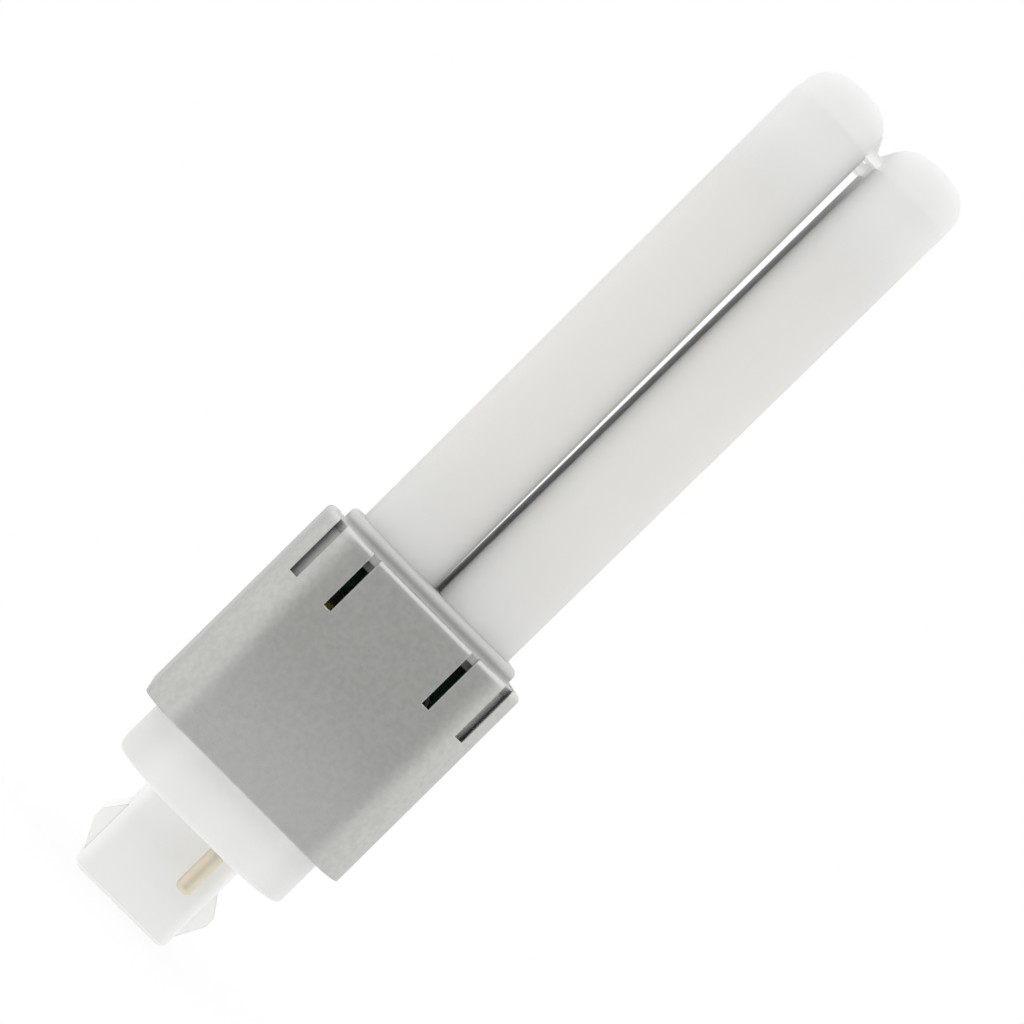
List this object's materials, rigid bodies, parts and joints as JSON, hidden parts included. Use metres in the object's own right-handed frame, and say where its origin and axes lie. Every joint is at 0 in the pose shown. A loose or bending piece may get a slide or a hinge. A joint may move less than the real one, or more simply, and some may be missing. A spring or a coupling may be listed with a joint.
{
  "type": "led plug-in lamp",
  "caption": "Plug-in LED lamp with four frosted light tubes on a square aluminium housing, with a white snap-in plug post and contact pins.",
  "frame": {"origin": "centre of the plug's seating face, the underside of the white collar", "axes": "+Z along the lamp's axis towards the tube tips, X across the tubes, -Y to the front"},
  "size_m": [0.0342, 0.0342, 0.1409],
  "materials": {
    "white_plastic": "moulded, satin gloss",
    "frosted_plastic": "frosted, translucent",
    "satin_aluminium": "fine satin, blasted",
    "rail_aluminium": "as extruded",
    "pin_brass": "pale, turned",
    "driver_laminate": "green solder mask",
    "led_laminate": "white solder mask",
    "led_phosphor": "yellow phosphor",
    "ferrite": "dull ferrite",
    "winding_tape": "polyester tape",
    "capacitor_sleeve": "shrunk sleeve",
    "film_case": "moulded case",
    "black_epoxy": "moulded epoxy",
    "resistor_coat": "dipped coat",
    "mains_insulation": "white insulation",
    "lead_insulation": "red insulation"
  },
  "bodies": {
    "root": {"base_cap": "white_plastic", "front_left_diffuser_tube": "frosted_plastic", "front_right_diffuser_tube": "frosted_plastic", "rear_left_diffuser_tube": "frosted_plastic", "rear_right_diffuser_tube": "frosted_plastic", "front_end_cap": "frosted_plastic", "rear_end_cap": "frosted_plastic", "housing_sleeve": "satin_aluminium", "top_plate": "satin_aluminium", "front_left_led_rail": "rail_aluminium", "front_right_led_rail": "rail_aluminium", "rear_left_led_rail": "rail_aluminium", "rear_right_led_rail": "rail_aluminium", "front_contact_pin": "pin_brass", "rear_contact_pin": "pin_brass", "driver_board": "driver_laminate", "front_left_led_board": "led_laminate", "front_right_led_board": "led_laminate", "rear_left_led_board": "led_laminate", "rear_right_led_board": "led_laminate", "front_left_led_chips": "led_phosphor", "front_right_led_chips": "led_phosphor", "rear_left_led_chips": "led_phosphor", "rear_right_led_chips": "led_phosphor", "transformer_core": "ferrite", "transformer_winding": "winding_tape", "bulk_capacitor": "capacitor_sleeve", "output_capacitor": "capacitor_sleeve", "film_capacitor": "film_case", "bridge_rectifier": "black_epoxy", "controller_chip": "black_epoxy", "filter_choke": "black_epoxy", "fusible_resistor": "resistor_coat", "front_mains_wire": "mains_insulation", "rear_mains_wire": "mains_insulation", "front_left_led_leads": "lead_insulation", "front_right_led_leads": "lead_insulation", "rear_left_led_leads": "lead_insulation", "rear_right_led_leads": "lead_insulation"}
  },
  "joints": []
}
